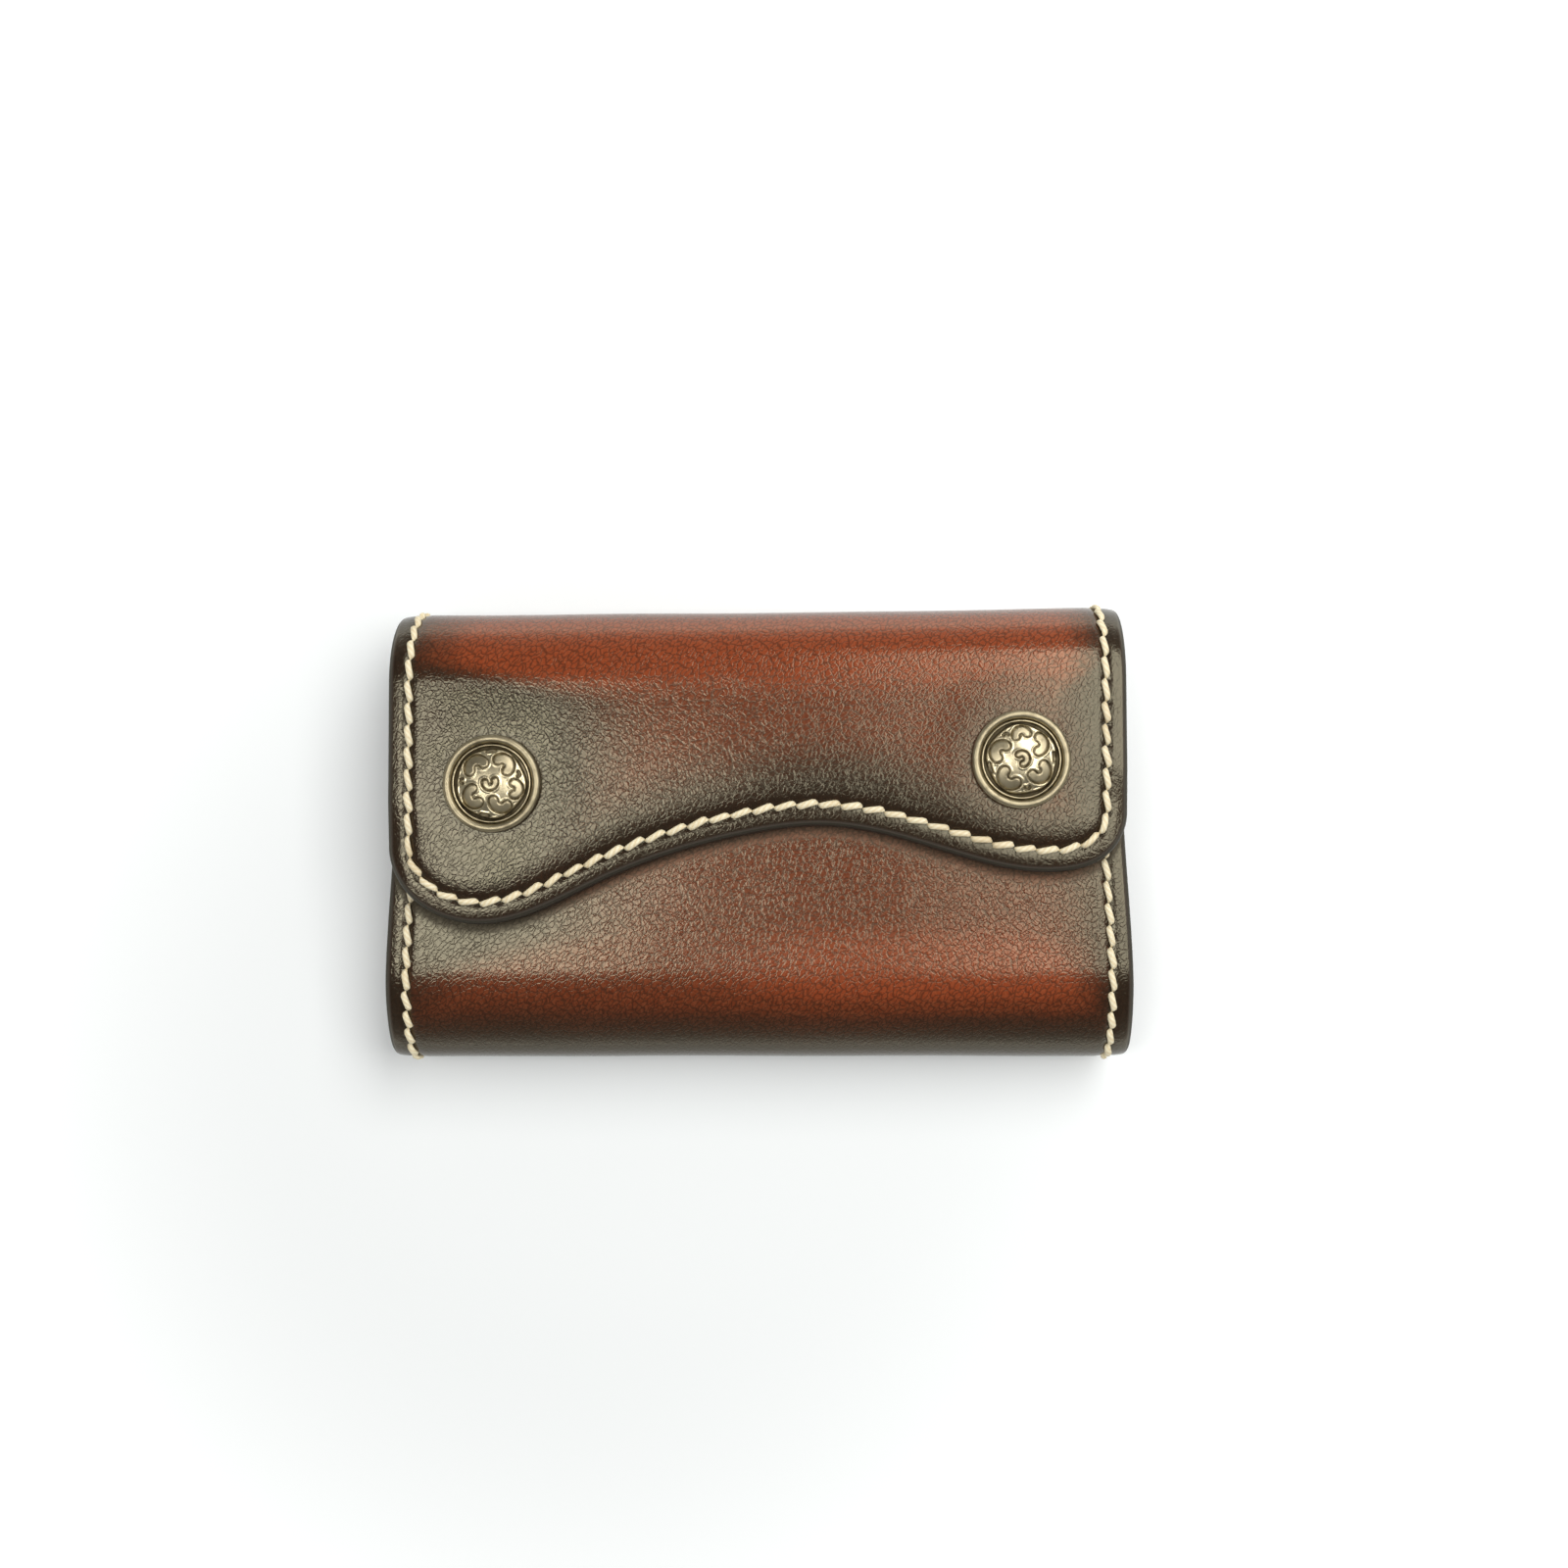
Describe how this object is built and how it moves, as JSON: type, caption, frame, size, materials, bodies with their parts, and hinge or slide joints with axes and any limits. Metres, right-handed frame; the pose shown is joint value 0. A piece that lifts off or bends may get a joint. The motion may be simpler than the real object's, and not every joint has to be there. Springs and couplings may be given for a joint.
{
  "type": "key case",
  "caption": "Tri-fold leather key case with an S-edged flap, saddle stitching, ornamented snap caps and swivelling key hooks inside.",
  "frame": {"origin": "middle of the closed case's box, on the back face that it lies on", "axes": "+X along the folds, +Y towards the fold of the flap, +Z out of the flap"},
  "size_m": [0.113, 0.0705, 0.0255],
  "materials": {
    "outer_leather": "hand-rubbed red-brown with dark burnished edges",
    "lining_leather": "matt dark brown",
    "thread": "waxed cream thread",
    "antique_brass": "antiqued, dark in the recesses",
    "plated_steel": "antique brass plating",
    "spring_steel": "bright spring steel"
  },
  "bodies": {
    "back": {"outer_back": "outer_leather", "lining_back": "lining_leather", "stitching_back": "thread", "key_plate": "plated_steel", "plate_rivets": "plated_steel"},
    "upper_fold": {"outer_upper_fold": "outer_leather", "lining_upper_fold": "lining_leather", "stitching_upper_fold": "thread"},
    "flap": {"outer_flap": "outer_leather", "lining_flap": "lining_leather", "stitching_flap": "thread", "left_snap_cap": "antique_brass", "left_cap_post": "antique_brass", "left_socket": "antique_brass", "left_socket_spring": "spring_steel", "right_snap_cap": "antique_brass", "right_cap_post": "antique_brass", "right_socket": "antique_brass", "right_socket_spring": "spring_steel"},
    "lower_fold": {"outer_lower_fold": "outer_leather", "lining_lower_fold": "lining_leather", "stitching_lower_fold": "thread"},
    "lower_panel": {"outer_lower_panel": "outer_leather", "lining_lower_panel": "lining_leather", "stitching_lower_panel": "thread", "left_stud": "antique_brass", "left_stud_rivet": "antique_brass", "right_stud": "antique_brass", "right_stud_rivet": "antique_brass"},
    "hook_1": {"key_hook_1": "plated_steel", "gate_pin_1": "plated_steel"},
    "gate_1": {"hook_gate_1": "spring_steel"},
    "hook_2": {"key_hook_2": "plated_steel", "gate_pin_2": "plated_steel"},
    "gate_2": {"hook_gate_2": "spring_steel"},
    "hook_3": {"key_hook_3": "plated_steel", "gate_pin_3": "plated_steel"},
    "gate_3": {"hook_gate_3": "spring_steel"},
    "hook_4": {"key_hook_4": "plated_steel", "gate_pin_4": "plated_steel"},
    "gate_4": {"hook_gate_4": "spring_steel"},
    "hook_5": {"key_hook_5": "plated_steel", "gate_pin_5": "plated_steel"},
    "gate_5": {"hook_gate_5": "spring_steel"},
    "hook_6": {"key_hook_6": "plated_steel", "gate_pin_6": "plated_steel"},
    "gate_6": {"hook_gate_6": "spring_steel"}
  },
  "joints": [
    {"name": "upper_fold_hinge", "type": "hinge", "parent": "back", "child": "upper_fold", "pos_m": [0, 0.0314, 0.0034], "axis": [-1, 0, 0], "range_deg": [0, 90], "deforming": ["left_socket_spring", "right_socket_spring"]},
    {"name": "flap_hinge", "type": "hinge", "parent": "upper_fold", "child": "flap", "pos_m": [0, 0.0314, 0.0198], "axis": [-1, 0, 0], "range_deg": [0, 90]},
    {"name": "lower_fold_hinge", "type": "hinge", "parent": "back", "child": "lower_fold", "pos_m": [0, -0.03211, 0.00269], "axis": [1, 0, 0], "range_deg": [0, 27]},
    {"name": "lower_panel_hinge", "type": "hinge", "parent": "lower_fold", "child": "lower_panel", "pos_m": [0, -0.03211, 0.01571], "axis": [1, 0, 0], "range_deg": [0, 27]},
    {"name": "hook_swivel_1", "type": "hinge", "parent": "back", "child": "hook_1", "pos_m": [0.0386, -0.0182, 0.0069], "axis": [1, 0, 0], "continuous": true},
    {"name": "hook_gate_1", "type": "hinge", "parent": "hook_1", "child": "gate_1", "pos_m": [0.0326, -0.016, 0.0069], "axis": [0, 0, 1], "range_deg": [0, 14], "stiffness_Nm_per_rad": 0.004},
    {"name": "hook_swivel_2", "type": "hinge", "parent": "back", "child": "hook_2", "pos_m": [0.0386, -0.0114, 0.0069], "axis": [1, 0, 0], "continuous": true},
    {"name": "hook_gate_2", "type": "hinge", "parent": "hook_2", "child": "gate_2", "pos_m": [0.0326, -0.0092, 0.0069], "axis": [0, 0, 1], "range_deg": [0, 14], "stiffness_Nm_per_rad": 0.004},
    {"name": "hook_swivel_3", "type": "hinge", "parent": "back", "child": "hook_3", "pos_m": [0.0386, -0.0046, 0.0069], "axis": [1, 0, 0], "continuous": true},
    {"name": "hook_gate_3", "type": "hinge", "parent": "hook_3", "child": "gate_3", "pos_m": [0.0326, -0.0024, 0.0069], "axis": [0, 0, 1], "range_deg": [0, 14], "stiffness_Nm_per_rad": 0.004},
    {"name": "hook_swivel_4", "type": "hinge", "parent": "back", "child": "hook_4", "pos_m": [0.0386, 0.0022, 0.0069], "axis": [1, 0, 0], "continuous": true},
    {"name": "hook_gate_4", "type": "hinge", "parent": "hook_4", "child": "gate_4", "pos_m": [0.0326, 0.0044, 0.0069], "axis": [0, 0, 1], "range_deg": [0, 14], "stiffness_Nm_per_rad": 0.004},
    {"name": "hook_swivel_5", "type": "hinge", "parent": "back", "child": "hook_5", "pos_m": [0.0386, 0.009, 0.0069], "axis": [1, 0, 0], "continuous": true},
    {"name": "hook_gate_5", "type": "hinge", "parent": "hook_5", "child": "gate_5", "pos_m": [0.0326, 0.0112, 0.0069], "axis": [0, 0, 1], "range_deg": [0, 14], "stiffness_Nm_per_rad": 0.004},
    {"name": "hook_swivel_6", "type": "hinge", "parent": "back", "child": "hook_6", "pos_m": [0.0386, 0.0158, 0.0069], "axis": [1, 0, 0], "continuous": true},
    {"name": "hook_gate_6", "type": "hinge", "parent": "hook_6", "child": "gate_6", "pos_m": [0.0326, 0.018, 0.0069], "axis": [0, 0, 1], "range_deg": [0, 14], "stiffness_Nm_per_rad": 0.004}
  ],
  "couplings": [
    {"joint": "flap_hinge", "follows": "upper_fold_hinge", "ratio": 1},
    {"joint": "lower_fold_hinge", "follows": "upper_fold_hinge", "ratio": 0.3},
    {"joint": "lower_panel_hinge", "follows": "upper_fold_hinge", "ratio": 0.3}
  ]
}
